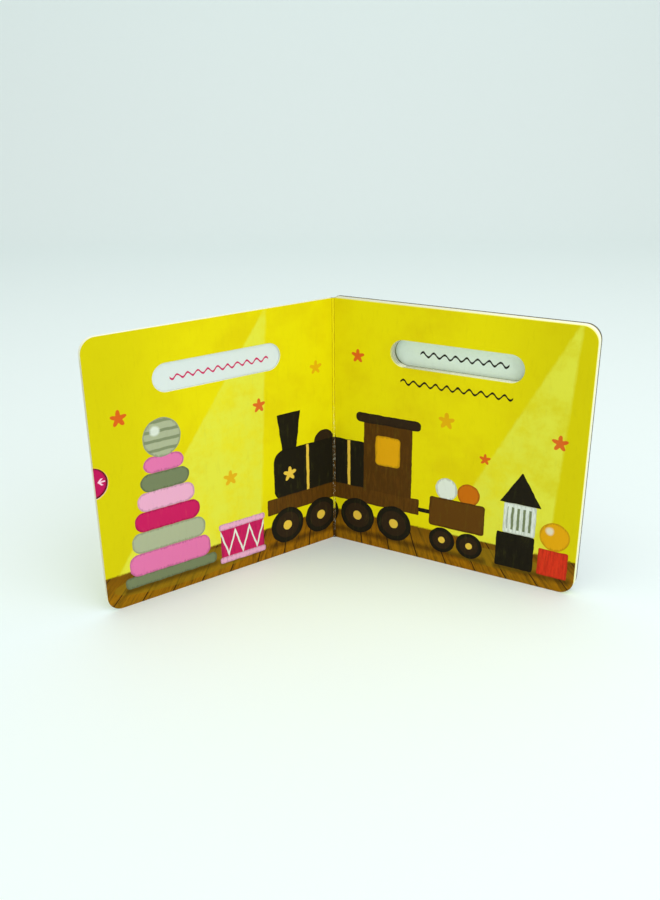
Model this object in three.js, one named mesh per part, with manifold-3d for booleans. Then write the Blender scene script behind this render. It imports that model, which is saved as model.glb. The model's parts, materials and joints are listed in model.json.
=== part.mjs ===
// A square board book for small children, standing open on its bottom edge.
// The front cover is swung open to the left. It is a hollow leaf of three glued boards: an outer board,
// a U-shaped spacer and an inner page with a name window and a thumb notch. A name card slides in the
// pocket between them. To the right stand the thick pages, glued into one block with a window cut
// through all of them, then the back cover. A spine strip closes the back of the block.
// Millimetres, +Z up. The pages of the block face -Y, and their fore edge points to +X.
// The origin is the bottom centre of the open book's box.
import * as THREE from "three";
import { mergeVertices } from "three/addons/utils/BufferGeometryUtils.js";
import Module from "manifold-3d";

const wasm = await Module();
wasm.setup();

// Page format
const PAGE_WIDTH = 177;
const PAGE_HEIGHT = 180;
const CORNER_RADIUS = 10;

// Angle between the two open pages, in degrees
const OPEN_ANGLE = 115.5;

// Gap between glued pieces, and between pieces that slide or fold past each other
const CLEARANCE = 0.3;

// Gutter: each page's printed sheet reaches this far past its board, to the fold
const GUTTER_REACH = 0.9;
const SHEET_THICKNESS = 0.35;

// Page block: leaves with a fine shadow gap between them at every cut edge
const LEAF_COUNT = 4;
const LEAF_THICKNESS = 1.5;
const LEAF_GAP = 0.2;
const LEAF_GAP_DEPTH = 1.2;

// Each leaf's window sits a little further from the spine than that of the leaf in front
const WINDOW_CREEP = 0.35;

// Covers and spine
const FRONT_BOARD_THICKNESS = 0.8;
const WINDOW_PAGE_THICKNESS = 0.8;
const BACK_COVER_THICKNESS = 2.2;
const SPINE_THICKNESS = 0.6;

// Name card and the rims of its pocket
const CARD_THICKNESS = 0.7;
const CARD_CORNER_RADIUS = 3;
const CARD_INSET = 0.4;
const POCKET_RIM = 12;
const POCKET_SPINE_RIM = 15;

// Name window: a slot with round ends, its centre placed from the spine edge and the top of the page
const WINDOW_LENGTH = 91.8;
const WINDOW_HEIGHT = 18.5;
const WINDOW_FROM_SPINE = 88.2;
const WINDOW_FROM_TOP = 32.3;

// Thumb notch: part of a circle whose centre lies just outside the fore edge
const NOTCH_RADIUS = 10.5;
const NOTCH_OUTSET = 1.9;
const NOTCH_FROM_BOTTOM = 90;

// Facets of each quarter turn of a corner, and of each half turn of a window or notch
const CORNER_STEPS = 12;
const ROUND_STEPS = 18;

const LEAF_PITCH = LEAF_THICKNESS + LEAF_GAP;
const BLOCK_THICKNESS = LEAF_COUNT * LEAF_PITCH - LEAF_GAP;
const BACK_COVER_FRONT = BLOCK_THICKNESS + CLEARANCE;

// The front cover is made as if the book were closed, in front of the block, and then swung open.
// These are the far faces, on the block's side, of its layers.
const WINDOW_PAGE_FACE = -CLEARANCE;
const SPACER_FACE = WINDOW_PAGE_FACE - WINDOW_PAGE_THICKNESS - CLEARANCE;
const FRONT_BOARD_FACE = SPACER_FACE - CARD_THICKNESS - CLEARANCE;

// Colours
const PRINTED_YELLOW = 0xd9d400;
const BOARD_WHITE = 0xf3f1e6;
const COVER_MAROON = 0x3c0a1e;
const CARD_MAGENTA = 0xb90050;

function paper(color, roughness) {
  return new THREE.MeshStandardMaterial({ color, roughness, metalness: 0 });
}

// Points along an arc in the XZ plane, its two ends included
function arc(centreX, centreZ, radius, from, to, steps) {
  const points = [];
  for (let i = 0; i <= steps; i++) {
    const angle = from + ((to - from) * i) / steps;
    points.push(new THREE.Vector2(centreX + radius * Math.cos(angle), centreZ + radius * Math.sin(angle)));
  }
  return points;
}

// A page seen from the front: square at the spine, round at the two corners of the fore edge.
// foreEdge holds extra points of the fore edge from the bottom up, and inset makes the page smaller all round.
function pageOutline(foreEdge = [], inset = 0) {
  const radius = CORNER_RADIUS - inset;
  const far = PAGE_WIDTH - inset;
  const high = PAGE_HEIGHT - inset;
  return new THREE.Shape([
    new THREE.Vector2(inset, inset),
    ...arc(far - radius, inset + radius, radius, -Math.PI / 2, 0, CORNER_STEPS),
    ...foreEdge,
    ...arc(far - radius, high - radius, radius, 0, Math.PI / 2, CORNER_STEPS),
    new THREE.Vector2(inset, high),
  ]);
}

// The window as a hole. shift moves it away from the spine, and grow makes it larger all round.
function windowHole(shift = 0, grow = 0) {
  const centreX = WINDOW_FROM_SPINE + shift;
  const centreZ = PAGE_HEIGHT - WINDOW_FROM_TOP;
  const radius = WINDOW_HEIGHT / 2 + grow;
  const reach = (WINDOW_LENGTH - WINDOW_HEIGHT) / 2;
  const quarter = Math.PI / 2;
  return new THREE.Path([
    ...arc(centreX + reach, centreZ, radius, -quarter, quarter, ROUND_STEPS),
    ...arc(centreX - reach, centreZ, radius, quarter, 3 * quarter, ROUND_STEPS),
  ]);
}

// The thumb notch as points of the fore edge, from the bottom up
function notchPoints() {
  const half = Math.acos(NOTCH_OUTSET / NOTCH_RADIUS);
  const centreX = PAGE_WIDTH + NOTCH_OUTSET;
  return arc(centreX, NOTCH_FROM_BOTTOM, NOTCH_RADIUS, Math.PI + half, Math.PI - half, ROUND_STEPS);
}

// An upright board of the given outline, whose far face is at y = face
function board(outline, thickness, face, hole) {
  if (hole) outline.holes.push(hole);
  const geometry = new THREE.ExtrudeGeometry(outline, { depth: thickness, bevelEnabled: false });
  geometry.rotateX(Math.PI / 2);
  geometry.translate(0, face, 0);
  return geometry;
}

function box(lowX, highX, lowY, highY, lowZ, highZ) {
  const geometry = new THREE.BoxGeometry(highX - lowX, highY - lowY, highZ - lowZ);
  geometry.translate((lowX + highX) / 2, (lowY + highY) / 2, (lowZ + highZ) / 2);
  return geometry;
}

function solidOf(geometry) {
  const bare = geometry.clone();
  bare.deleteAttribute("normal");
  bare.deleteAttribute("uv");
  const merged = mergeVertices(bare, 1e-4);
  return new wasm.Manifold(
    new wasm.Mesh({
      numProp: 3,
      vertProperties: new Float32Array(merged.attributes.position.array),
      triVerts: new Uint32Array(merged.index.array),
    }),
  );
}

function geometryOf(solid) {
  const mesh = solid.getMesh();
  const indexed = new THREE.BufferGeometry();
  indexed.setAttribute("position", new THREE.BufferAttribute(mesh.vertProperties, 3));
  indexed.setIndex(new THREE.BufferAttribute(mesh.triVerts, 1));
  const geometry = indexed.toNonIndexed();
  geometry.computeVertexNormals();
  return geometry;
}

function joined(geometries) {
  return geometryOf(geometries.map(solidOf).reduce((whole, next) => whole.add(next)));
}

function cut(geometry, tool) {
  return geometryOf(solidOf(geometry).subtract(solidOf(tool)));
}

function piece(name, geometry, material) {
  const mesh = new THREE.Mesh(geometry, material);
  mesh.name = name;
  return mesh;
}

// The printed sheet of a page, from the board to just short of the fold in the gutter
function gutterSheet(nearFace) {
  return box(-GUTTER_REACH + CLEARANCE / 2, LEAF_GAP_DEPTH, nearFace, nearFace + SHEET_THICKNESS, 0, PAGE_HEIGHT);
}

// Thick leaves round a slightly smaller core, so that a fine gap shows between two leaves
function makePageBlock() {
  const coreHole = windowHole((LEAF_COUNT - 1) * WINDOW_CREEP, LEAF_GAP_DEPTH + (LEAF_COUNT - 1) * WINDOW_CREEP);
  const core = board(pageOutline([], LEAF_GAP_DEPTH), BLOCK_THICKNESS, BLOCK_THICKNESS, coreHole);
  const leaves = [];
  for (let i = 0; i < LEAF_COUNT; i++) {
    const hole = windowHole(i * WINDOW_CREEP);
    leaves.push(board(pageOutline(), LEAF_THICKNESS, i * LEAF_PITCH + LEAF_THICKNESS, hole));
  }
  const sheets = [0, BLOCK_THICKNESS - SHEET_THICKNESS].map(gutterSheet);
  return piece("page_block", joined([core, ...leaves, ...sheets]), paper(PRINTED_YELLOW, 0.45));
}

// The strip that closes the back of the block, between the two gutter sheets
function makeSpine() {
  const front = SHEET_THICKNESS + CLEARANCE;
  const back = BLOCK_THICKNESS - SHEET_THICKNESS - CLEARANCE;
  const outside = -CLEARANCE - SPINE_THICKNESS;
  return piece("spine", box(outside, -CLEARANCE, front, back, 0, PAGE_HEIGHT), paper(COVER_MAROON, 0.4));
}

function makeBackCover() {
  const cover = board(pageOutline(), BACK_COVER_THICKNESS, BACK_COVER_FRONT + BACK_COVER_THICKNESS);
  return piece("back_cover", joined([cover, gutterSheet(BACK_COVER_FRONT)]), paper(COVER_MAROON, 0.4));
}

function makeWindowPage() {
  const page = board(pageOutline(notchPoints()), WINDOW_PAGE_THICKNESS, WINDOW_PAGE_FACE, windowHole());
  const sheet = gutterSheet(WINDOW_PAGE_FACE - SHEET_THICKNESS);
  return piece("window_page", joined([page, sheet]), paper(PRINTED_YELLOW, 0.45));
}

// Spacer round three sides of the pocket, open at the fore edge where the card comes out
function makePocketFrame() {
  const blank = board(pageOutline(), CARD_THICKNESS, SPACER_FACE);
  const room = box(
    POCKET_SPINE_RIM,
    PAGE_WIDTH + CLEARANCE,
    SPACER_FACE - CARD_THICKNESS - CLEARANCE,
    SPACER_FACE + CLEARANCE,
    POCKET_RIM,
    PAGE_HEIGHT - POCKET_RIM,
  );
  return piece("pocket_frame", cut(blank, room), paper(BOARD_WHITE, 0.8));
}

function makeNameCard() {
  const near = POCKET_SPINE_RIM + CLEARANCE;
  const far = PAGE_WIDTH - CARD_INSET;
  const low = POCKET_RIM + CLEARANCE;
  const high = PAGE_HEIGHT - POCKET_RIM - CLEARANCE;
  const radius = CARD_CORNER_RADIUS;
  const outline = new THREE.Shape([
    new THREE.Vector2(near, low),
    ...arc(far - radius, low + radius, radius, -Math.PI / 2, 0, CORNER_STEPS),
    ...arc(far - radius, high - radius, radius, 0, Math.PI / 2, CORNER_STEPS),
    new THREE.Vector2(near, high),
  ]);
  return piece("name_card", board(outline, CARD_THICKNESS, SPACER_FACE), paper(CARD_MAGENTA, 0.3));
}

function makeFrontBoard() {
  const geometry = board(pageOutline(), FRONT_BOARD_THICKNESS, FRONT_BOARD_FACE);
  return piece("front_board", geometry, paper(PRINTED_YELLOW, 0.35));
}

// The closed cover swings about the fold in the gutter, halfway between it and the block
function makeFrontCover() {
  const foldX = -GUTTER_REACH;
  const foldY = WINDOW_PAGE_FACE / 2;
  const closed = new THREE.Group();
  closed.add(makeWindowPage(), makePocketFrame(), makeNameCard(), makeFrontBoard());
  closed.position.set(-foldX, -foldY, 0);
  const swung = new THREE.Group();
  swung.add(closed);
  swung.position.set(foldX, foldY, 0);
  swung.rotation.z = -THREE.MathUtils.degToRad(OPEN_ANGLE);
  return swung;
}

const book = new THREE.Group();
book.add(makeFrontCover(), makePageBlock(), makeSpine(), makeBackCover());

book.updateMatrixWorld(true);
const extent = new THREE.Box3().setFromObject(book, true);
const centre = extent.getCenter(new THREE.Vector3());
book.position.set(-centre.x, -centre.y, -extent.min.z);

export default book;
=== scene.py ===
"""Looks of a square board book that stands open: boards, print, gutter papers, name card and stage."""
import json
from math import pi, radians, sin

import bmesh
import bpy
from mathutils import Matrix, Vector


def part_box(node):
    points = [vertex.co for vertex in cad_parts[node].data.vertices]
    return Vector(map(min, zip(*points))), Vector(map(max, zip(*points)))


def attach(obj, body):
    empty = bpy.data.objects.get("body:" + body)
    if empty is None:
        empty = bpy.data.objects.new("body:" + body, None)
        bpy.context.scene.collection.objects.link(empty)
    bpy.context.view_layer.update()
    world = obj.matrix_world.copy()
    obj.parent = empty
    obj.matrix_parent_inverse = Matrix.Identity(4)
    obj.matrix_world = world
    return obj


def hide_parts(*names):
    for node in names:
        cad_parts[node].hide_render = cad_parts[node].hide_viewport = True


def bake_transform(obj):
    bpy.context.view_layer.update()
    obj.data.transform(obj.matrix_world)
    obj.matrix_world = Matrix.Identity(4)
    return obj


bl_info = {
    "name": "Board Book",
    "version": (1, 0, 0),
    "blender": (4, 5, 0),
    "location": "3D Viewport > Sidebar > Board Book",
    "description": "Builds the boards, printed pages and name card of an open board book around its frame",
    "category": "Add Mesh",
}

MM = 0.001
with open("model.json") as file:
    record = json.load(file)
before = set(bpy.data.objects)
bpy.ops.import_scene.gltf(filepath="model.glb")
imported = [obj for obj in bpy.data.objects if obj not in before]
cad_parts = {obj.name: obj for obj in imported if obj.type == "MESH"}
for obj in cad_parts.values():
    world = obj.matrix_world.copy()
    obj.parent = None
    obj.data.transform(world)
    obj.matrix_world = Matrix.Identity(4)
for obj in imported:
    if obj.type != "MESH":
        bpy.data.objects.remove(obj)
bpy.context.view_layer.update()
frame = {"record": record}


def joint(name):
    """The joint of that name in the record."""
    return next(j for j in frame["record"]["behaviour"]["joints"] if j["name"] == name)


def extent(node):
    """Lowest and highest corner of a frame node, in mm."""
    low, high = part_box(node)
    return Vector(low) / MM, Vector(high) / MM


# Both folds are upright lines, a little outside the spine edge of the boards
GUTTER_REACH = 0.9
FRONT_FOLD = Vector(joint("front_gutter")["pos_m"]).xy / MM
REAR_FOLD = Vector(joint("rear_gutter")["pos_m"]).xy / MM
ALONG_FRONT = Vector(joint("card_slide")["axis"]).xy.normalized()
INTO_FRONT = Vector((ALONG_FRONT.y, -ALONG_FRONT.x))

BLOCK_LOW, BLOCK_HIGH = extent("page_block")
COVER_LOW, COVER_HIGH = extent("back_cover")
SPINE_LOW, SPINE_HIGH = extent("spine")
BOARD_EDGE = FRONT_FOLD.x + GUTTER_REACH
PAGE_WIDTH = BLOCK_HIGH.x - BOARD_EDGE
PAGE_HEIGHT = BLOCK_HIGH.z
PAGE_FACE = BLOCK_LOW.y
FOLD_GAP = PAGE_FACE - FRONT_FOLD.y

# Spine edges of the boards beside the two folds
FRONT_EDGE = FRONT_FOLD + GUTTER_REACH * ALONG_FRONT
REAR_NEAR = Vector((BOARD_EDGE, BLOCK_HIGH.y))
REAR_FAR = Vector((BOARD_EDGE, COVER_LOW.y))

# Depths of the front cover's layers below its printed face
PAGE_LAYER = (0.0, 0.8)
SPACER_LAYER = (0.82, 2.08)
CARD_LAYER = (1.1, 1.8)
BOARD_LAYER = (2.1, 2.9)

# Thickness of the back cover's dark sheet and of the spine, and the front hinge's lap onto its board
BACK_SHEET = 1.4
SPINE_SHEET = 0.5
HINGE_LAP = 6.0
HINGE_LIFT = 0.02

# How far the papers bow out between two boards, and the crease at the rear fold
GUTTER_BOW = 0.12
SPINE_BOW = 0.1
HINGE_BOW = 0.25
REAR_CREASE = 0.2

# Rims that are sharper than a leaf's
SHEET_RIM = 0.1
SPACER_RIM = 0.05
CARD_RIM = 0.08

# The pocket's rims, and the card in it
POCKET_RIM = 12.0
POCKET_SPINE_RIM = 15.0
CARD_GAP = 0.3
CARD_SETBACK = 0.4
CARD_CORNER = 3.0
CARD_STEPS = 8

# Window and notch, as the frame has them
WINDOW_LENGTH = 91.8
WINDOW_HEIGHT = 18.5
WINDOW_ACROSS = 88.2
WINDOW_UP = PAGE_HEIGHT - 32.3
WINDOW_CREEP = 0.35
NOTCH_RADIUS = 10.5
NOTCH_OUTSET = 1.9
NOTCH_CHORD = (NOTCH_RADIUS**2 - NOTCH_OUTSET**2) ** 0.5

# A hole's walls lie further inside a board than this
WALL_MARGIN = 12.0


def ink(red, green, blue):
    """A screen colour, 0 to 255 a channel, as the linear colour of a material."""
    channels = [c / 255 for c in (red, green, blue)]
    linear = [c / 12.92 if c < 0.04045 else ((c + 0.055) / 1.055) ** 2.4 for c in channels]
    return (*linear, 1.0)


def shade(colour, share):
    """The same ink, darker: share scales its linear colour."""
    return (*(channel * share for channel in colour[:3]), 1.0)


def colour_property(name, description, colour):
    return bpy.props.FloatVectorProperty(
        name=name, description=description, subtype="COLOR", size=4, min=0, max=1, default=ink(*colour)
    )


class BookSizes(bpy.types.PropertyGroup):
    """Sizes of the boards, in mm."""

    corner: bpy.props.FloatProperty(name="Corner", description="Radius of the page corners", default=10.0)
    rim: bpy.props.FloatProperty(name="Rim", description="Softness of a die-cut board's rim", default=0.14)
    leaves: bpy.props.IntProperty(name="Leaves", description="Number of leaves in the page block", default=4)
    leaf_gap: bpy.props.FloatProperty(name="Leaf gap", description="Shadow gap between leaves", default=0.12)
    sheet: bpy.props.FloatProperty(name="Sheet", description="Thickness of a folded sheet", default=0.16)
    corner_steps: bpy.props.IntProperty(name="Corner steps", description="Facets of a corner", default=16)
    round_steps: bpy.props.IntProperty(name="Round steps", description="Facets of a half circle", default=32)


class BookColours(bpy.types.PropertyGroup):
    """Colours of print and board."""

    wall: colour_property("Wall", "Yellow ground of the pages", (238, 225, 0))
    wall_deep: colour_property("Wall, deep", "Yellow where the ground is painted thicker", (230, 212, 0))
    beam: colour_property("Beam", "Pale light beams on the wall", (232, 234, 70))
    plank: colour_property("Plank", "Brown of the painted floor", (170, 112, 0))
    plank_dark: colour_property("Plank, dark", "Brown of the joints and the shaded floor", (66, 40, 0))
    plank_lit: colour_property("Plank, lit", "Floor under a light beam", (146, 118, 14))
    board: colour_property("Board", "Cut edge of the boards", (250, 250, 226))
    cover: colour_property("Cover", "Outside of the spine and the back cover", (48, 8, 22))
    card: colour_property("Card", "Ground of the name card", (196, 0, 88))
    panel: colour_property("Panel", "Pale panels to write on and to read", (224, 234, 232))
    floor: colour_property("Stage floor", "Paper that the book stands on", (241, 251, 250))


class Number:
    """A value on a shader socket. Sums with it add Math nodes to its finish."""

    def __init__(self, finish, socket):
        self.finish = finish
        self.socket = socket

    def __add__(self, other):
        return self.finish.math("ADD", self, other)

    def __radd__(self, other):
        return self.finish.math("ADD", other, self)

    def __sub__(self, other):
        return self.finish.math("SUBTRACT", self, other)

    def __rsub__(self, other):
        return self.finish.math("SUBTRACT", other, self)

    def __mul__(self, other):
        return self.finish.math("MULTIPLY", self, other)

    def __truediv__(self, other):
        return self.finish.math("DIVIDE", self, other)

    def __neg__(self):
        return self.finish.math("MULTIPLY", self, -1.0)

    def __abs__(self):
        return self.finish.math("ABSOLUTE", self)


class Finish:
    """One material, built up from node calls and sums."""

    def __init__(self, name, roughness=0.5, specular=0.3):
        self.material = bpy.data.materials.new(name)
        self.material.use_nodes = True
        self.tree = self.material.node_tree
        self.surface = self.tree.nodes["Principled BSDF"]
        self.surface.inputs["Roughness"].default_value = roughness
        self.surface.inputs["Specular IOR Level"].default_value = specular
        place = self.node("ShaderNodeTexCoord")
        sockets = {0: place.outputs["Object"], "Scale": 1 / MM}
        scaled = self.node("ShaderNodeVectorMath", {"operation": "SCALE"}, sockets)
        self.place = scaled.outputs[0]
        parts = self.node("ShaderNodeSeparateXYZ", {}, {0: self.place})
        self.x, self.y, self.z = (Number(self, s) for s in parts.outputs)

    def node(self, kind, settings=None, inputs=None):
        """A node of that type, with its settings and then the values or links of its sockets."""
        made = self.tree.nodes.new(kind)
        for name, value in (settings or {}).items():
            setattr(made, name, value)
        for socket, value in (inputs or {}).items():
            self.feed(made.inputs[socket], value)
        return made

    def feed(self, socket, value):
        if isinstance(value, Number):
            value = value.socket
        if isinstance(value, bpy.types.NodeSocket):
            self.tree.links.new(value, socket)
        else:
            socket.default_value = value

    def math(self, operation, *values, clamp=False):
        settings = {"operation": operation, "use_clamp": clamp}
        made = self.node("ShaderNodeMath", settings, dict(enumerate(values)))
        return Number(self, made.outputs[0])

    def vector(self, across, up, depth=0.0):
        made = self.node("ShaderNodeCombineXYZ", {}, {0: across, 1: up, 2: depth})
        return made.outputs[0]

    def noise(self, vector, scale, detail=2.0, roughness=0.5):
        sockets = {"Vector": vector, "Scale": scale, "Detail": detail, "Roughness": roughness}
        return Number(self, self.node("ShaderNodeTexNoise", {}, sockets).outputs[0])

    def random(self, value):
        made = self.node("ShaderNodeTexWhiteNoise", {"noise_dimensions": "1D"}, {"W": value})
        return Number(self, made.outputs[0])

    def smooth(self, value, low, high):
        """0 below low, 1 above high and smooth in between."""
        settings = {"interpolation_type": "SMOOTHSTEP", "clamp": True}
        made = self.node("ShaderNodeMapRange", settings, {"Value": value, 1: low, 2: high})
        return Number(self, made.outputs[0])

    def mix(self, factor, below, above):
        made = self.node("ShaderNodeMix", {"data_type": "RGBA"}, {0: factor, 6: below, 7: above})
        return made.outputs[2]

    def paint(self, colour):
        self.feed(self.surface.inputs["Base Color"], colour)

    def roughen(self, value):
        self.feed(self.surface.inputs["Roughness"], value)

    def bump(self, height, strength, distance_mm):
        sockets = {"Strength": strength, "Distance": distance_mm * MM, "Height": height}
        made = self.node("ShaderNodeBump", {}, sockets)
        self.feed(self.surface.inputs["Normal"], made.outputs[0])


class Page:
    """Ink laid on a page, shape by shape. across is mm from the gutter, negative on the left-hand page."""

    def __init__(self, finish, across, up, ground):
        self.finish = finish
        self.across = across + (finish.noise(finish.vector(across, up), 0.16) - 0.5) * HAND_WOBBLE
        self.up = up + (finish.noise(finish.vector(up, across), 0.16) - 0.5) * HAND_WOBBLE
        self.bristle = (finish.noise(finish.vector(across * 0.9, up * 0.12), 0.7, 4.0, 0.7) - 0.5) * BRISTLES
        self.colour = ground

    def lay(self, inside, colour, soft=0.22, strength=None):
        """Lays a colour where inside, in mm from the shape's outline, is positive."""
        mask = self.finish.math("MULTIPLY_ADD", inside, 1 / soft, 0.5, clamp=True)
        if strength is not None:
            mask = mask * strength
        self.colour = self.finish.mix(mask, self.colour, colour)

    def daub(self, inside, colour, rim=1.0):
        """Paints a shape with a darker rim and a lighter body, which the bristles break up."""
        self.lay(inside, shade(colour, RIM_SHADE))
        self.lay(inside - rim + self.bristle, colour, rim)

    def least(self, first, *others):
        for other in others:
            first = self.finish.math("MINIMUM", first, other)
        return first

    def most(self, first, other):
        return self.finish.math("MAXIMUM", first, other)

    def length(self, across, up):
        return self.finish.math("SQRT", self.finish.math("MULTIPLY_ADD", across, across, up * up))

    def disc(self, across, up, radius, squash=1.0):
        return radius - self.length(self.across - across, (self.up - up) * (1 / squash))

    def block(self, low, high, bottom, top, corner=0.6):
        wide = abs(self.across - (low + high) / 2) - ((high - low) / 2 - corner)
        tall = abs(self.up - (bottom + top) / 2) - ((top - bottom) / 2 - corner)
        return corner - self.length(self.most(wide, 0.0), self.most(tall, 0.0))

    def taper(self, middle, bottom, top, low_half, high_half):
        """An upright piece whose half width runs evenly from low_half to high_half."""
        slope = (high_half - low_half) / (top - bottom)
        half = self.finish.math("MULTIPLY_ADD", self.up - bottom, slope, low_half)
        return self.least(half - abs(self.across - middle), self.up - bottom, top - self.up)

    def wave(self, low, high, level, swing, period, stroke):
        """A wavy pen line between two places."""
        curve = self.finish.math("SINE", (self.across - low) * (2 * pi / period)) * swing
        line = stroke / 2 - abs(self.up - level - curve) * 0.6
        return self.least(line, self.across - low, high - self.across)

    def star(self, across, up, radius, points=5):
        wide = self.across - across
        tall = self.up - up
        angle = self.finish.math("ARCTAN2", wide, tall)
        lobes = self.finish.math("COSINE", angle * points) * (0.26 * radius)
        return lobes + 0.74 * radius - self.length(wide, tall)


# Colours of the toys, the painted shades and highlight, and other small parts of the book
BLACK = ink(30, 26, 14)
SOFT_BLACK = ink(48, 34, 18)
WOOD = ink(98, 62, 10)
SEAM = ink(34, 18, 0)
COVER_DEEP = ink(32, 4, 14)
NOTCH_SHADE = ink(104, 0, 18)
NOTCH_RIM_HIGHLIGHT = ink(255, 206, 60)
GAP_SHADE = ink(54, 74, 32)
PRINT_GLOW = ink(252, 248, 96)
READING_PANEL = ink(234, 250, 238)
GOLD = ink(240, 200, 70)
WHITE = ink(232, 240, 228)
STONE = ink(176, 184, 150)
STONE_DARK = ink(120, 132, 96)
PINK = ink(232, 120, 176)
PALE_PINK = ink(240, 176, 208)
ROSE = ink(206, 30, 96)
RED = ink(224, 56, 28)
ORANGE = ink(206, 112, 8)
AMBER = ink(232, 170, 10)
ARROW_PINK = ink(255, 214, 232)
CARD_DEEP = ink(160, 0, 70)
FIBRE = ink(206, 204, 168)

# The painted floor in perspective, in mm on the page
FLOOR_LEVEL = 24.0
VANISHING_HEIGHT = 195.0
PLANK_WIDTH = 22.0

# The brush: how far an outline wanders, how far bristles break it up, and how dark a painted rim is
HAND_WOBBLE = 1.1
BRISTLES = 5.0
RIM_SHADE = 0.7

# Gloss of the pages' print, and the pale panels behind the windows
PRINT_GLOSS = 0.06
PANEL_HALF = 13.0
PANEL_CORNER = 12.0

# Beams of light: across and up of the lamp, then the two ends of its foot
LEFT_BEAM = (-52.0, 182.0, -168.0, -62.0)
RIGHT_BEAM = (168.0, 184.0, 84.0, 158.0)

# Small stars: across, up, radius and ink
LEFT_STARS = (
    (-158.0, 128.0, 5.5, RED),
    (-84.0, 70.0, 5.5, AMBER),
    (-14.0, 134.0, 5.0, AMBER),
    (-60.0, 116.0, 5.0, RED),
)
RIGHT_STARS = (
    (18.0, 142.0, 5.0, RED),
    (84.0, 106.0, 6.0, AMBER),
    (112.0, 84.0, 4.0, RED),
    (160.0, 104.0, 5.5, RED),
)

# Wheels of the engine and its wagon: across and radius
WHEELS = ((-40.0, 13.5), (-11.0, 13.5), (18.0, 13.5), (47.0, 13.5), (84.0, 9.5), (104.0, 9.5))
WHEELS_FOOT = 8.5


def brushed(finish, vector, low, high, scale, colour_low, colour_high):
    """Two colours blended by brush marks."""
    marks = finish.noise(vector, scale, 4.0, 0.6)
    return finish.mix(finish.smooth(marks, low, high), colour_low, colour_high)


def painted_floor(page, colours):
    """Planks that run up to a point high above the gutter, darker towards the wall."""
    finish = page.finish
    spread = page.across / (VANISHING_HEIGHT - page.up) * (VANISHING_HEIGHT / PLANK_WIDTH)
    plank = finish.math("FLOOR", spread)
    seam = abs(finish.math("FRACT", spread) - 0.5)
    grain = finish.noise(finish.vector(spread * 4.0, page.up * 0.03), 2.0, 5.0, 0.7)
    wood = finish.mix(finish.smooth(grain, 0.25, 0.62), colours.plank_dark, colours.plank)
    wood = finish.mix(finish.random(plank) * 0.25, wood, colours.plank_lit)
    far = finish.smooth(page.up + (grain - 0.5) * 14.0, 8.0, FLOOR_LEVEL)
    wood = finish.mix(far * 0.5, wood, colours.plank_dark)
    return finish.mix(finish.smooth(seam, 0.468, 0.484) * 0.9, wood, SEAM)


def contact_shade(page, low, high, level=10.0):
    """The soft shade painted on the floor under a toy."""
    page.lay(page.block(low, high, level - 2.5, level + 2.0, 2.0), SEAM, 3.0, 0.6)


def ring_stacker(page, middle):
    """A peg with rings that get smaller upwards, and a ball on top."""
    rings = (
        (19.0, 34.5, 29.0, PINK),
        (34.5, 49.0, 26.0, STONE),
        (49.0, 62.5, 23.0, ROSE),
        (62.5, 75.5, 20.0, PALE_PINK),
        (75.5, 87.5, 17.0, STONE_DARK),
        (87.5, 98.5, 14.0, PINK),
    )
    contact_shade(page, middle - 34, middle + 34, 11.0)
    page.daub(page.block(middle - 33, middle + 33, 11.5, 19.5, 3.0), STONE_DARK)
    for bottom, top, half, colour in rings:
        page.daub(page.block(middle - half, middle + half, bottom, top, 6.0), colour)
    ball = page.disc(middle, 110.0, 13.0)
    page.daub(ball, STONE)
    bands = page.finish.math("SINE", page.up)
    page.lay(page.least(ball - 0.6, (bands - 0.55) * 1.5), STONE_DARK, 0.5, 0.8)
    page.lay(page.disc(middle - 4.5, 115.0, 3.2), WHITE, 1.6, 0.85)


def toy_drum(page, middle):
    """A little drum with pale hoops and a zigzag cord."""
    contact_shade(page, middle - 19, middle + 19)
    barrel = (middle - 17, middle + 17, 9.0, 36.0)
    page.daub(page.block(*barrel, 1.5), ROSE)
    zigzag = page.finish.math("PINGPONG", page.across - middle, 5.6) * 3.0 + 14.0
    page.lay(page.least(page.block(*barrel), 0.6 - abs(zigzag - page.up) * 0.32), WHITE)
    for bottom in (8.0, 33.0):
        page.daub(page.block(middle - 18, middle + 18, bottom, bottom + 4.5, 1.5), PALE_PINK, 0.8)


def toy_train(page):
    """A dark wooden engine that crosses the gutter, with a wagon behind it."""
    contact_shade(page, -56.0, 116.0, 9.0)
    page.daub(page.taper(-37.0, 74.0, 106.0, 5.0, 9.5), BLACK)
    page.daub(page.disc(-8.0, 79.0, 8.5), SOFT_BLACK)
    page.daub(page.block(-50.0, 30.0, 42.0, 80.0, 9.0), BLACK)
    for band in (-23.0, 10.0):
        page.lay(page.block(band, band + 2.2, 42.4, 79.6, 0.3), GOLD)
    page.lay(page.star(-37.0, 61.0, 5.5), GOLD)
    page.daub(page.block(23.0, 60.0, 42.0, 97.0), WOOD)
    page.daub(page.block(17.0, 66.0, 95.0, 102.0, 3.0), SOFT_BLACK)
    page.daub(page.block(32.0, 51.0, 65.0, 87.0, 3.0), AMBER)
    page.lay(page.block(60.0, 78.0, 36.0, 39.0), BLACK)
    page.daub(page.block(-56.0, 66.0, 33.0, 45.0, 1.0), WOOD)
    page.daub(page.disc(86.0, 57.0, 8.0), WHITE)
    page.daub(page.disc(102.0, 56.0, 8.0), ORANGE)
    page.daub(page.block(74.0, 114.0, 28.0, 50.0, 2.0), WOOD)
    for across, radius in WHEELS:
        level = WHEELS_FOOT + radius
        page.daub(page.disc(across, level, radius), BLACK)
        page.lay(page.disc(across, level, radius * 0.72), SOFT_BLACK, 0.5)
        page.lay(page.disc(across, level, radius * 0.26), GOLD)


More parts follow.
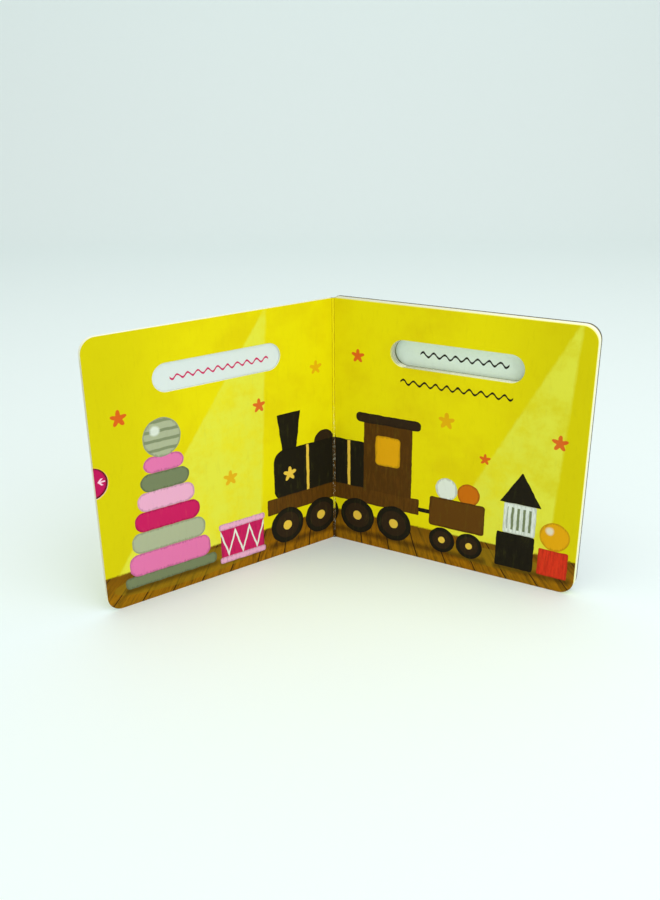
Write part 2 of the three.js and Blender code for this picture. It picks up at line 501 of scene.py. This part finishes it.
def toy_blocks(page):
    """A tower of blocks with a ball beside it."""
    contact_shade(page, 122.0, 175.0, 9.0)
    page.daub(page.block(123.0, 149.0, 9.5, 35.0, 1.2), BLACK)
    page.daub(page.block(152.0, 172.0, 9.5, 29.0, 1.2), RED)
    page.daub(page.block(127.0, 149.0, 35.0, 57.0, 1.2), WHITE)
    stripes = page.finish.math("SINE", page.across * 1.57)
    page.lay(page.least(page.block(129.5, 146.5, 38.0, 54.0, 0.3), stripes - 0.2), STONE_DARK, 0.4)
    page.daub(page.taper(138.0, 57.0, 79.0, 14.0, 0.5), BLACK)
    page.daub(page.disc(162.0, 39.0, 10.0), AMBER)
    page.lay(page.disc(158.5, 42.5, 2.6), WHITE, 1.6, 0.7)


def small_stars(page, stars):
    for across, up, radius, colour in stars:
        page.lay(page.star(across, up, radius), colour, 0.3, 0.85)


def printed_ground(finish, across, up, colours, beam):
    """The yellow wall with its beam of light, painted shade towards its outer edges, and the floor, before
    any toy is laid on them.
    """
    surface = finish.vector(across, up)
    wall = brushed(finish, surface, 0.4, 0.68, 0.022, colours.wall, colours.wall_deep)
    # Painted shade: the yellow ground darkens towards the outer edges, away from the light that bounces
    # about the gutter
    wall = finish.mix(finish.smooth(abs(across), 95.0, 170.0) * 0.8, wall, shade(colours.wall, 0.8))
    page = Page(finish, across, up, wall)
    apex_across, apex_up, foot_low, foot_high = beam
    drop = (apex_up - page.up) * (1 / (apex_up - FLOOR_LEVEL))
    low = page.across - apex_across - drop * (foot_low - apex_across)
    high = apex_across + drop * (foot_high - apex_across) - page.across
    cloud = finish.smooth(finish.noise(surface, 0.045, 5.0, 0.65), 0.3, 0.62)
    light = page.least(low, high, apex_up - page.up) + page.bristle * 0.5
    page.lay(light, colours.beam, 2.0, cloud * 0.6 + 0.3)
    edge = FLOOR_LEVEL - up + (finish.noise(surface, 0.5, 4.0, 0.7) - 0.5) * 2.2
    page.lay(edge, painted_floor(page, colours), 1.2)
    pool = page.disc((foot_low + foot_high) / 2, FLOOR_LEVEL - 11.0, abs(foot_high - foot_low) / 2 + 4, 0.16)
    page.lay(page.least(pool, edge) + page.bristle * 0.4, colours.plank_lit, 1.5, 0.6)
    return page


def finish_page(page, roughness=0.42):
    """The page's ink under a thin laminate."""
    finish = page.finish
    colours = colours_of()
    strokes = finish.noise(finish.vector(page.across, page.up * 0.2), 0.35, 5.0, 0.7)
    colour = finish.mix(finish.smooth(strokes, 0.52, 0.7) * 0.02, page.colour, colours.beam)
    colour = finish.mix(finish.smooth(strokes, 0.48, 0.3) * 0.045, colour, colours.plank_dark)
    finish.paint(colour)
    finish.roughen(finish.noise(finish.vector(page.across, page.up), 0.08, 3.0) * 0.12 + (roughness - 0.06))
    finish.bump(finish.noise(finish.vector(page.across, page.up), 0.25, 3.0), 0.12, 0.05)
    return finish.material


def colours_of():
    return bpy.context.scene.book_colours


def sizes_of():
    return bpy.context.scene.book_sizes


def along_front(finish):
    """Mm from the front cover's spine edge towards its fore edge."""
    return (finish.x - FRONT_EDGE.x) * ALONG_FRONT.x + (finish.y - FRONT_EDGE.y) * ALONG_FRONT.y


def right_print(name, plain=False):
    """Print of a right-hand page, or of the plain pages at the back."""
    finish = Finish(name, specular=PRINT_GLOSS)
    across = finish.x - BOARD_EDGE
    page = printed_ground(finish, across, finish.z, colours_of(), RIGHT_BEAM)
    if not plain:
        toy_train(page)
        toy_blocks(page)
        small_stars(page, RIGHT_STARS)
        page.lay(page.wave(50.0, 128.0, 128.5, 1.5, 7.8, 0.9), BLACK)
    return finish_page(page)


def left_print(name):
    """Print of the left-hand page, on the inside of the front cover, with a painted highlight round the
    thumb notch.
    """
    finish = Finish(name, specular=PRINT_GLOSS)
    page = printed_ground(finish, -along_front(finish), finish.z, colours_of(), LEFT_BEAM)
    toy_drum(page, -77.0)
    ring_stacker(page, -131.0)
    toy_train(page)
    small_stars(page, LEFT_STARS)
    # Painted highlight: a thin amber ring on the page along the thumb notch's cut rim, where the edge
    # catches the light
    rim = page.disc(-PAGE_WIDTH - NOTCH_OUTSET, PAGE_HEIGHT / 2, NOTCH_RADIUS + 0.5)
    page.lay(rim, NOTCH_RIM_HIGHLIGHT, 0.4, 0.8)
    return finish_page(page)


def gutter_print(name):
    """The strip between the two creases: the ground's colours, with painted shade at the creases, cracked
    white where the ink is dark.
    """
    finish = Finish(name, specular=PRINT_GLOSS)
    colours = colours_of()
    surface = finish.vector(finish.x, finish.z, finish.y)
    page = Page(finish, finish.x - FRONT_FOLD.x, finish.z, colours.wall)
    page.lay(FLOOR_LEVEL - finish.z, colours.plank_dark, 0.9)
    page.lay(page.least(finish.z - 42.0, 80.0 - finish.z), BLACK)
    page.lay(page.least(finish.z - 33.0, 45.0 - finish.z), WOOD)
    # Painted shade: the floor's brown laid towards both creases, which leaves a lighter strip along the
    # middle
    crease = abs(page.across - (BOARD_EDGE - 0.72 - FRONT_FOLD.x))
    page.lay(crease - 0.45, colours.plank, 0.3, 0.45)
    cracks = finish.noise(finish.vector(finish.x * 2.0, finish.z * 0.35, finish.y * 2.0), 1.4, 5.0, 0.7)
    low_down = finish.smooth(finish.z, 118.0, 86.0)
    cracked = finish.smooth(cracks, 0.56, 0.64) * low_down * 0.85
    page.colour = finish.mix(cracked, page.colour, colours.board)
    finish.paint(page.colour)
    finish.bump(finish.noise(surface, 2.0, 3.0), 0.3, 0.05)
    return finish.material


def board_edge(name, printed_rim=False):
    """Cut grey-white board with fine fibres. The print colours the rim of the leaf that it lies on."""
    finish = Finish(name, roughness=0.75, specular=0.2)
    colours = colours_of()
    fibre = finish.noise(finish.place, 1.8, 5.0, 0.7)
    tone = finish.mix(finish.smooth(fibre, 0.35, 0.8) * 0.22, colours.board, FIBRE)
    if printed_rim:
        tone = finish.mix(finish.smooth(finish.y - PAGE_FACE, 2.8, 1.4) * 0.7, tone, PRINT_GLOW)
    finish.paint(tone)
    finish.bump(fibre, 0.25, 0.06)
    return finish.material


def window_wall(name):
    """Walls of the window through the leaves, with painted shade: the round ends are darker, with a painted
    shadow line at each joint, and the walls darken deep at the back.
    """
    finish = Finish(name, roughness=0.7, specular=0.2)
    sizes = sizes_of()
    depth = (finish.y - PAGE_FACE) / (BLOCK_HIGH.y - BLOCK_LOW.y)
    joint = abs(finish.math("FRACT", depth * sizes.leaves + 0.5) - 0.5) * 2.0
    end = finish.smooth(abs(finish.z - WINDOW_UP), 9.0, 7.0)
    line = finish.smooth(joint, 0.8, 0.3) * finish.smooth(depth, 0.1, 0.2) * end * (depth * 0.5 + 0.4)
    tone = finish.mix(finish.smooth(depth, 0.14, 0.06) * 0.8, colours_of().board, PRINT_GLOW)
    # Painted shade: darker round ends, a painted shadow line in each gap between leaves, and painted shade
    # deep at the back
    tone = finish.mix(end * 0.25, tone, GAP_SHADE)
    tone = finish.mix(line, tone, GAP_SHADE)
    tone = finish.mix(finish.smooth(depth + end * 0.12, 0.78, 0.95) * 0.9, tone, GAP_SHADE)
    finish.paint(tone)
    finish.bump(finish.noise(finish.place, 1.8, 4.0, 0.7), 0.2, 0.05)
    return finish.material


def plain_sheet(name, colour, deep, roughness, specular):
    """An even printed sheet with soft mottling under laminate."""
    finish = Finish(name, specular=specular)
    mottle = finish.noise(finish.place, 0.03, 3.0)
    finish.paint(finish.mix(finish.smooth(mottle, 0.3, 0.8) * 0.5, colour, deep))
    finish.roughen(finish.noise(finish.place, 0.1, 3.0) * 0.1 + roughness)
    finish.bump(finish.noise(finish.place, 0.12, 2.0), 0.02, 0.05)
    return finish.material


def dark_sheet(name):
    """The glossy dark paper of the spine and the back cover."""
    return plain_sheet(name, colours_of().cover, COVER_DEEP, 0.22, 0.4)


def panel(page, low, high):
    """A pale panel with round ends, a little taller than the window in front of it."""
    return page.block(low, high, WINDOW_UP - PANEL_HALF, WINDOW_UP + PANEL_HALF, PANEL_CORNER)


def cover_inside(name):
    """The page behind the window: plain print, with a pale panel that shows through the window."""
    finish = Finish(name, specular=0.16)
    across = finish.x - BOARD_EDGE
    colours = colours_of()
    page = printed_ground(finish, across, finish.z, colours, RIGHT_BEAM)
    low = WINDOW_ACROSS - WINDOW_LENGTH / 2 - 3
    high = WINDOW_ACROSS + WINDOW_LENGTH / 2 + 5
    page.lay(panel(page, low, high), READING_PANEL)
    page.lay(page.wave(61.0, 122.0, WINDOW_UP - 0.5, 1.5, 7.6, 0.9), BLACK)
    return finish_page(page, 0.3)


def card_print(name):
    """The name card: rose ground, a pale panel to write on, an arrow at the thumb notch, and a painted
    shadow ring along the notch.
    """
    finish = Finish(name, specular=0.15)
    colours = colours_of()
    page = Page(finish, along_front(finish), finish.z, colours.card)
    page.lay(panel(page, 36.0, 140.0), colours.panel)
    page.lay(page.wave(51.0, 122.0, WINDOW_UP - 1.0, 1.3, 7.1, 0.8), ROSE)
    middle = PAGE_HEIGHT / 2
    off = abs(page.up - middle)
    head = page.least(0.5 - abs(PAGE_WIDTH - 2.9 - page.across - off) * 0.7, 2.3 - off)
    shaft = page.block(PAGE_WIDTH - 7.3, PAGE_WIDTH - 3.4, middle - 0.45, middle + 0.45, 0.3)
    page.lay(page.most(head, shaft), ARROW_PINK)
    # Painted shadow: a dark red ring on the card along the notch's arc, where the page's cut edge shades the
    # card in the pocket
    notch = page.disc(PAGE_WIDTH + NOTCH_OUTSET, middle, NOTCH_RADIUS)
    page.lay(page.least(notch + 1.0, 0.9 - notch), NOTCH_SHADE, 1.2)
    finish.paint(page.colour)
    finish.roughen(finish.noise(finish.place, 0.1, 3.0) * 0.1 + 0.26)
    return finish.material


def verts_of(geom):
    """The vertices among the results of a mesh operator."""
    return [g for g in geom if isinstance(g, bmesh.types.BMVert)]


def draw_to(bm, here, place):
    """Draws an edge from a vertex to a place, and returns the vertex there."""
    there = bmesh.ops.extrude_vert_indiv(bm, verts=[here])["verts"][0]
    there.co = place
    return there


def trace(bm, start, moves):
    """Draws a closed outline from corners (across, up) and turns (centre across, up, degrees, steps)."""
    first = bm.verts.new((*start, 0.0))
    here = first
    for move in moves:
        if len(move) == 2:
            here = draw_to(bm, here, (*move, 0.0))
        else:
            across, up, degrees, steps = move
            turned = bmesh.ops.spin(
                bm, geom=[here], cent=(across, up, 0), axis=(0, 0, 1), angle=radians(degrees), steps=steps
            )
            here = verts_of(turned["geom_last"])[0]
    bm.edges.new((here, first))
    bmesh.ops.remove_doubles(bm, verts=bm.verts, dist=1e-5)


def page_outline(notched=False):
    """Square at the gutter, round at the fore edge, with the thumb notch if asked."""
    sizes = sizes_of()
    radius, steps = sizes.corner, sizes.corner_steps
    moves = [(PAGE_WIDTH - radius, 0.0), (PAGE_WIDTH - radius, radius, 90, steps)]
    if notched:
        middle = PAGE_HEIGHT / 2
        sweep = 2 * Vector((-NOTCH_OUTSET, -NOTCH_CHORD)).angle((-1, 0)) * 180 / pi
        moves += [(PAGE_WIDTH, middle - NOTCH_CHORD)]
        moves += [(PAGE_WIDTH + NOTCH_OUTSET, middle, -sweep, sizes.round_steps)]
    moves += [(PAGE_WIDTH, PAGE_HEIGHT - radius), (PAGE_WIDTH - radius, PAGE_HEIGHT - radius, 90, steps)]
    moves += [(0.0, PAGE_HEIGHT)]
    return (0.0, 0.0), moves


def window_outline(creep=0.0):
    reach = (WINDOW_LENGTH - WINDOW_HEIGHT) / 2
    middle = WINDOW_ACROSS + creep
    steps = sizes_of().round_steps
    bottom = WINDOW_UP - WINDOW_HEIGHT / 2
    moves = [
        (middle + reach, bottom),
        (middle + reach, WINDOW_UP, 180, steps),
        (middle - reach, WINDOW_UP + WINDOW_HEIGHT / 2),
        (middle - reach, WINDOW_UP, 180, steps),
    ]
    return (middle - reach, bottom), moves


def pocket_outline():
    sizes = sizes_of()
    radius, steps = sizes.corner, sizes.corner_steps
    high = PAGE_HEIGHT - POCKET_RIM
    moves = [
        (PAGE_WIDTH - radius, 0.0),
        (PAGE_WIDTH - radius, radius, 90, steps),
        (PAGE_WIDTH, POCKET_RIM),
        (POCKET_SPINE_RIM, POCKET_RIM),
        (POCKET_SPINE_RIM, high),
        (PAGE_WIDTH, high),
        (PAGE_WIDTH, PAGE_HEIGHT - radius),
        (PAGE_WIDTH - radius, PAGE_HEIGHT - radius, 90, steps),
        (0.0, PAGE_HEIGHT),
    ]
    return (0.0, 0.0), moves


def card_outline():
    low = POCKET_RIM + CARD_GAP
    high = PAGE_HEIGHT - low
    near = POCKET_SPINE_RIM + CARD_GAP
    far = PAGE_WIDTH - CARD_SETBACK
    moves = [
        (far - CARD_CORNER, low),
        (far - CARD_CORNER, low + CARD_CORNER, 90, CARD_STEPS),
        (far, high - CARD_CORNER),
        (far - CARD_CORNER, high - CARD_CORNER, 90, CARD_STEPS),
        (near, high),
    ]
    return (near, low), moves


def right_place(face):
    """Takes a board's own mm (across, up, depth) to the part's frame, for the boards of the stack."""
    return Matrix(((MM, 0, 0, BOARD_EDGE * MM), (0, 0, MM, face * MM), (0, MM, 0, 0), (0, 0, 0, 1)))


def front_point(depth):
    """Spine edge of the front cover, at a depth below its printed face."""
    return FRONT_EDGE + (FOLD_GAP + depth) * INTO_FRONT


def left_place():
    """The same as right_place for the boards of the front cover, which is swung open."""
    edge = front_point(0.0) * MM
    along, into = ALONG_FRONT * MM, INTO_FRONT * MM
    return Matrix(((along.x, 0, into.x, edge.x), (along.y, 0, into.y, edge.y), (0, MM, 0, 0), (0, 0, 0, 1)))


def link_mesh(name, bm, materials):
    """A finished mesh as an object of the scene."""
    mesh = bpy.data.meshes.new(name)
    bm.to_mesh(mesh)
    bm.free()
    for material in materials:
        mesh.materials.append(material)
    made = bpy.data.objects.new(name, mesh)
    bpy.context.scene.collection.objects.link(made)
    return made


def add_piece(name, bm, materials, body, replaced=()):
    """A piece of the book. It rides on a body, or is blended between two bodies afterwards."""
    piece = link_mesh(name, bm, materials)
    if body:
        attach(piece, body)
    if replaced:
        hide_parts(*replaced)
    return piece


def cut_board(outline, holes, layer, place, rim=None):
    """A die-cut board between two depths. Front, back, outer walls and hole walls are materials 0 to 3."""
    bm = bmesh.new()
    trace(bm, *outline)
    for hole in holes:
        inner = bmesh.new()
        trace(inner, *hole)
        spare = bpy.data.meshes.new("hole")
        inner.to_mesh(spare)
        inner.free()
        bm.from_mesh(spare)
        bpy.data.meshes.remove(spare)
    bmesh.ops.triangle_fill(bm, edges=bm.edges, use_beauty=True, normal=(0, 0, 1))
    raised = bmesh.ops.extrude_face_region(bm, geom=bm.faces[:])["geom"]
    near, far = layer
    bmesh.ops.translate(bm, verts=verts_of(raised), vec=(0, 0, far - near))
    bmesh.ops.translate(bm, verts=bm.verts, vec=(0, 0, near))
    bmesh.ops.recalc_face_normals(bm, faces=bm.faces)
    for face in bm.faces:
        centre = face.calc_center_median()
        margin = min(centre.x, PAGE_WIDTH - centre.x, centre.y, PAGE_HEIGHT - centre.y)
        inner = bool(holes) and margin > WALL_MARGIN
        face.material_index = 0 if face.normal.z < -0.5 else 1 if face.normal.z > 0.5 else 2 + inner
    rims = [e for e in bm.edges if len({f.material_index for f in e.link_faces}) == 2]
    offset = sizes_of().rim if rim is None else rim
    bmesh.ops.bevel(bm, geom=rims, offset=offset, affect="EDGES", segments=3, profile=0.5, material=-1)
    for face in bm.faces:
        face.smooth = abs(face.normal.z) < 0.999
    bmesh.ops.transform(bm, matrix=place, verts=bm.verts)
    bmesh.ops.recalc_face_normals(bm, faces=bm.faces)
    return bm


def paper_strip(path, thickness):
    """A folded paper, as tall as the book: a path of (x, y) places in mm, thickened to one side."""
    bm = bmesh.new()
    here = bm.verts.new((path[0].x, path[0].y, 0.0))
    for place in path[1:]:
        here = draw_to(bm, here, (place.x, place.y, 0.0))
    wall = bmesh.ops.extrude_edge_only(bm, edges=bm.edges[:])["geom"]
    bmesh.ops.translate(bm, verts=verts_of(wall), vec=(0, 0, PAGE_HEIGHT))
    bmesh.ops.solidify(bm, geom=bm.faces[:], thickness=thickness)
    bmesh.ops.recalc_face_normals(bm, faces=bm.faces)
    for face in bm.faces:
        face.smooth = abs(face.normal.z) < 0.5
        face.material_index = 0 if face.smooth else 1
    bmesh.ops.scale(bm, vec=(MM, MM, MM), verts=bm.verts)
    return bm


def bow(start, end, rise, steps=8):
    """Places along a shallow arch from start to end, rise mm to the left of the way."""
    along = end - start
    side = Vector((-along.y, along.x)).normalized()
    return [start + along * (i / steps) + side * (rise * sin(pi * i / steps)) for i in range(steps + 1)]


class Builder:
    """What the operators share."""

    bl_options = {"REGISTER", "UNDO"}


class BOOK_OT_leaves(Builder, bpy.types.Operator):
    """Cuts the leaves of the page block, each with its window a little further from the spine"""

    bl_idname = "book.leaves"
    bl_label = "Leaves"

    def execute(self, context):
        sizes = sizes_of()
        edge = board_edge("leaf_edge", printed_rim=True)
        wall = window_wall("window_wall")
        spread = right_print("right_page_print")
        plain = right_print("back_page_print", plain=True)
        thickness = (BLOCK_HIGH.y - BLOCK_LOW.y + sizes.leaf_gap) / sizes.leaves
        for i in range(sizes.leaves):
            layer = (i * thickness, (i + 1) * thickness - sizes.leaf_gap)
            front = spread if i == 0 else edge
            back = plain if i == sizes.leaves - 1 else edge
            bm = cut_board(page_outline(), [window_outline(i * WINDOW_CREEP)], layer, right_place(PAGE_FACE))
            replaced = ["page_block"] if i == 0 else []
            add_piece(f"leaf_{i + 1}", bm, [front, back, edge, wall], "pages", replaced)
        return {"FINISHED"}


class BOOK_OT_back_cover(Builder, bpy.types.Operator):
    """Cuts the back cover, with its dark outer sheet as a piece of its own"""

    bl_idname = "book.back_cover"
    bl_label = "Back Cover"

    def execute(self, context):
        edge = board_edge("cover_edge")
        dark = dark_sheet("cover_outside")
        thickness = COVER_HIGH.y - COVER_LOW.y
        glue_line = thickness - BACK_SHEET
        place = right_place(COVER_LOW.y)
        bm = cut_board(page_outline(), [], (0.0, glue_line), place)
        faces = [cover_inside("cover_inside"), edge, dark]
        add_piece("back_board", bm, faces, "back_cover", ["back_cover"])
        bm = cut_board(page_outline(), [], (glue_line, thickness), place, SHEET_RIM)
        add_piece("back_sheet", bm, [dark], "back_cover")
        return {"FINISHED"}


class BOOK_OT_front_cover(Builder, bpy.types.Operator):
    """Cuts the three glued boards of the front cover"""

    bl_idname = "book.front_cover"
    bl_label = "Front Cover"

    def execute(self, context):
        colours = colours_of()
        edge = board_edge("front_edge")
        place = left_place()
        printed = left_print("left_page_print")
        bm = cut_board(page_outline(notched=True), [window_outline()], PAGE_LAYER, place)
        faces = [printed, edge, edge, edge]
        add_piece("inner_page", bm, faces, "front_cover", ["window_page"])
        bm = cut_board(pocket_outline(), [], SPACER_LAYER, place, SPACER_RIM)
        add_piece("pocket_spacer", bm, [edge], "front_cover", ["pocket_frame"])
        outside = plain_sheet("front_outside", colours.wall, colours.wall_deep, 0.22, 0.3)
        bm = cut_board(page_outline(), [], BOARD_LAYER, place)
        add_piece("outer_board", bm, [edge, outside, edge], "front_cover", ["front_board"])
        return {"FINISHED"}


class BOOK_OT_name_card(Builder, bpy.types.Operator):
    """Cuts the name card that slides in the pocket"""

    bl_idname = "book.name_card"
    bl_label = "Name Card"

    def execute(self, context):
        face = card_print("card_print")
        back = plain_sheet("card_back", colours_of().card, CARD_DEEP, 0.3, 0.2)
        edge = board_edge("card_edge")
        bm = cut_board(card_outline(), [], CARD_LAYER, left_place(), CARD_RIM)
        add_piece("card", bm, [face, back, edge], "name_card", ["name_card"])
        return {"FINISHED"}


class BOOK_OT_gutters(Builder, bpy.types.Operator):
    """Folds the printed papers that join facing pages in the two gutters"""

    bl_idname = "book.gutters"
    bl_label = "Gutter Papers"

    def execute(self, context):
        thickness = sizes_of().sheet
        right = Vector((BOARD_EDGE, PAGE_FACE))
        left = front_point(0.0)
        core = board_edge("gutter_core")
        bm = paper_strip(bow(right, left, GUTTER_BOW), thickness)
        paper = add_piece("gutter_paper", bm, [gutter_print("gutter_print"), core], None)
        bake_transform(paper)
        crease = REAR_FOLD + Vector((REAR_CREASE, 0.0))
        bm = paper_strip([REAR_NEAR, crease, REAR_FAR], thickness)
        plain = right_print("rear_gutter_print", plain=True)
        paper = add_piece("rear_gutter_paper", bm, [plain, core], None)
        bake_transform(paper)
        return {"FINISHED"}


class BOOK_OT_spine(Builder, bpy.types.Operator):
    """Folds the spine and the two outer hinges that join it to the covers"""

    bl_idname = "book.spine"
    bl_label = "Spine"

    def execute(self, context):
        dark = dark_sheet("spine_print")
        core = board_edge("spine_core")
        thickness = sizes_of().sheet
        front = Vector((SPINE_LOW.x, SPINE_LOW.y))
        back = Vector((SPINE_LOW.x, SPINE_HIGH.y))
        bm = paper_strip(bow(front, back, SPINE_BOW), SPINE_SHEET)
        add_piece("spine_strip", bm, [dark, core], "pages", ["spine"])
        outer = front_point(BOARD_LAYER[1])
        lap = outer + HINGE_LAP * ALONG_FRONT + HINGE_LIFT * INTO_FRONT
        bm = paper_strip([*bow(front, outer, HINGE_BOW), lap], -thickness)
        hinge = add_piece("front_hinge_paper", bm, [dark, core], None)
        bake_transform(hinge)
        outer = Vector((BOARD_EDGE, COVER_HIGH.y))
        bm = paper_strip([back, REAR_FOLD, outer], -thickness)
        hinge = add_piece("rear_hinge_paper", bm, [dark, core], None)
        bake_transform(hinge)
        return {"FINISHED"}


# The photograph's camera, measured from the foot of the front gutter
CAMERA_FROM_FOLD = Vector((289.6, -526.9, 312.1))
CAMERA_YAW = 29.15
CAMERA_PITCH = -21.95
CAMERA_ROLL = -0.5
FOCAL_PIXELS = 903.7
LONG_SIDE_PIXELS = 900.0
SENSOR_WIDTH = 36.0

# The paper sweep, in metres: half its width, its front edge, its bend's start and radius, and its top
SWEEP_HALF = 3.0
SWEEP_FRONT = -2.5
SWEEP_BEND = 1.4
SWEEP_RADIUS = 0.6
SWEEP_TOP = 3.0

# The soft room, and the lamps: name, place, side and power
ROOM_COLOUR = (0.98, 1.0, 0.985, 1.0)
ROOM_STRENGTH = 0.65
LAMPS = (
    ("key", (1.15, -0.32, 1.12), 1.4, 8.2),
    ("top", (0.0, -0.1, 1.7), 1.8, 9.0),
)
LAMPS_AIM = Vector((0.0, 0.0, 0.08))


class BOOK_OT_stage(Builder, bpy.types.Operator):
    """Sets the pale sweep, the soft lights and the camera"""

    bl_idname = "book.stage"
    bl_label = "Stage"

    def execute(self, context):
        self.sweep()
        self.lights()
        self.camera()
        context.scene.view_settings.view_transform = "Standard"
        return {"FINISHED"}

    def sweep(self):
        bm = bmesh.new()
        here = bm.verts.new((-SWEEP_HALF, SWEEP_FRONT, 0.0))
        here = draw_to(bm, here, (-SWEEP_HALF, SWEEP_BEND, 0.0))
        centre = (-SWEEP_HALF, SWEEP_BEND, SWEEP_RADIUS)
        bend = bmesh.ops.spin(bm, geom=[here], cent=centre, axis=(1, 0, 0), angle=pi / 2, steps=24)
        here = verts_of(bend["geom_last"])[0]
        draw_to(bm, here, (-SWEEP_HALF, SWEEP_BEND + SWEEP_RADIUS, SWEEP_TOP))
        wide = bmesh.ops.extrude_edge_only(bm, edges=bm.edges[:])["geom"]
        bmesh.ops.translate(bm, verts=verts_of(wide), vec=(2 * SWEEP_HALF, 0, 0))
        for face in bm.faces:
            face.smooth = True
        turn = Matrix.Rotation(radians(CAMERA_YAW), 4, "Z")
        bmesh.ops.transform(bm, matrix=turn, verts=bm.verts)
        finish = Finish("sweep_paper", roughness=0.6, specular=0.15)
        finish.paint(colours_of().floor)
        sweep = link_mesh("sweep", bm, [finish.material])

    def lights(self):
        world = bpy.data.worlds.new("soft_room")
        bpy.context.scene.world = world
        world.use_nodes = True
        backdrop = world.node_tree.nodes["Background"]
        backdrop.inputs["Color"].default_value = ROOM_COLOUR
        backdrop.inputs["Strength"].default_value = ROOM_STRENGTH
        for name, place, size, power in LAMPS:
            light = bpy.data.lights.new(name, "AREA")
            light.shape = "SQUARE"
            light.size = size
            light.energy = power
            lamp = bpy.data.objects.new(name, light)
            lamp.location = place
            lamp.rotation_euler = (LAMPS_AIM - Vector(place)).to_track_quat("-Z", "Y").to_euler()
            bpy.context.scene.collection.objects.link(lamp)

    def camera(self):
        camera = bpy.data.cameras.new("camera")
        camera.sensor_fit = "AUTO"
        camera.sensor_width = SENSOR_WIDTH
        camera.lens = camera.sensor_width * FOCAL_PIXELS / LONG_SIDE_PIXELS
        camera.clip_start = 0.01
        eye = bpy.data.objects.new("camera", camera)
        turn = Matrix.Rotation(radians(CAMERA_YAW), 4, "Z")
        tip = Matrix.Rotation(radians(90 + CAMERA_PITCH), 4, "X")
        roll = Matrix.Rotation(radians(CAMERA_ROLL), 4, "Z")
        foot = Vector((BOARD_EDGE, PAGE_FACE, 0.0))
        place = Matrix.Translation((foot + CAMERA_FROM_FOLD) * MM)
        eye.matrix_world = place @ turn @ tip @ roll
        bpy.context.scene.collection.objects.link(eye)
        bpy.context.scene.camera = eye


class BOOK_PT_panel(bpy.types.Panel):
    """Lists the book's pieces in the sidebar."""

    bl_label = "Board Book"
    bl_idname = "BOOK_PT_panel"
    bl_space_type = "VIEW_3D"
    bl_region_type = "UI"
    bl_category = "Board Book"

    def draw(self, context):
        column = self.layout.column()
        for operator in OPERATORS:
            column.operator(operator.bl_idname)
        for group in (context.scene.book_sizes, context.scene.book_colours):
            for name in type(group).__annotations__:
                column.prop(group, name)


OPERATORS = (
    BOOK_OT_leaves,
    BOOK_OT_back_cover,
    BOOK_OT_front_cover,
    BOOK_OT_name_card,
    BOOK_OT_gutters,
    BOOK_OT_spine,
    BOOK_OT_stage,
)
CLASSES = (BookSizes, BookColours, *OPERATORS, BOOK_PT_panel)


def register():
    for made in CLASSES:
        bpy.utils.register_class(made)
    bpy.types.Scene.book_sizes = bpy.props.PointerProperty(type=BookSizes)
    bpy.types.Scene.book_colours = bpy.props.PointerProperty(type=BookColours)


def unregister():
    del bpy.types.Scene.book_colours
    del bpy.types.Scene.book_sizes
    for made in reversed(CLASSES):
        bpy.utils.unregister_class(made)


def main():
    register()
    for operator in OPERATORS:
        group, name = operator.bl_idname.split(".")
        getattr(getattr(bpy.ops, group), name)()


if __name__ == "__main__":
    main()
